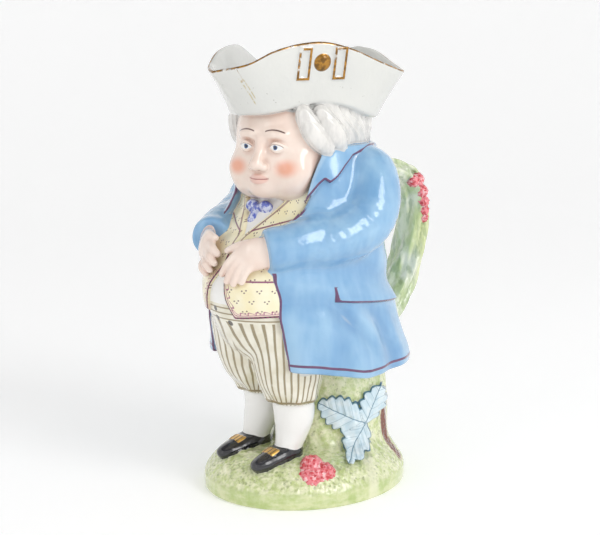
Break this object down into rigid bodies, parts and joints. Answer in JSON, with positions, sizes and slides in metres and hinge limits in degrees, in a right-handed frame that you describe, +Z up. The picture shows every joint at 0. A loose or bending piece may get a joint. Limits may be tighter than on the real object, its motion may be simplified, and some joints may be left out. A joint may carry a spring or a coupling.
{
  "type": "toby jug",
  "caption": "Hollow glazed jug shaped as a standing stout figure in an open coat. The three-cornered hat is the mouth and spout, and a loop handle is at the back.",
  "frame": {"origin": "middle of the flat underside of the base", "axes": "+Z up, the figure faces -Y with its left hand towards +X, the handle is at +Y"},
  "size_m": [0.1311, 0.1965, 0.2853],
  "materials": {
    "glazed_ware": "gloss"
  },
  "bodies": {
    "root": {"toby_jug": "glazed_ware"}
  },
  "joints": []
}
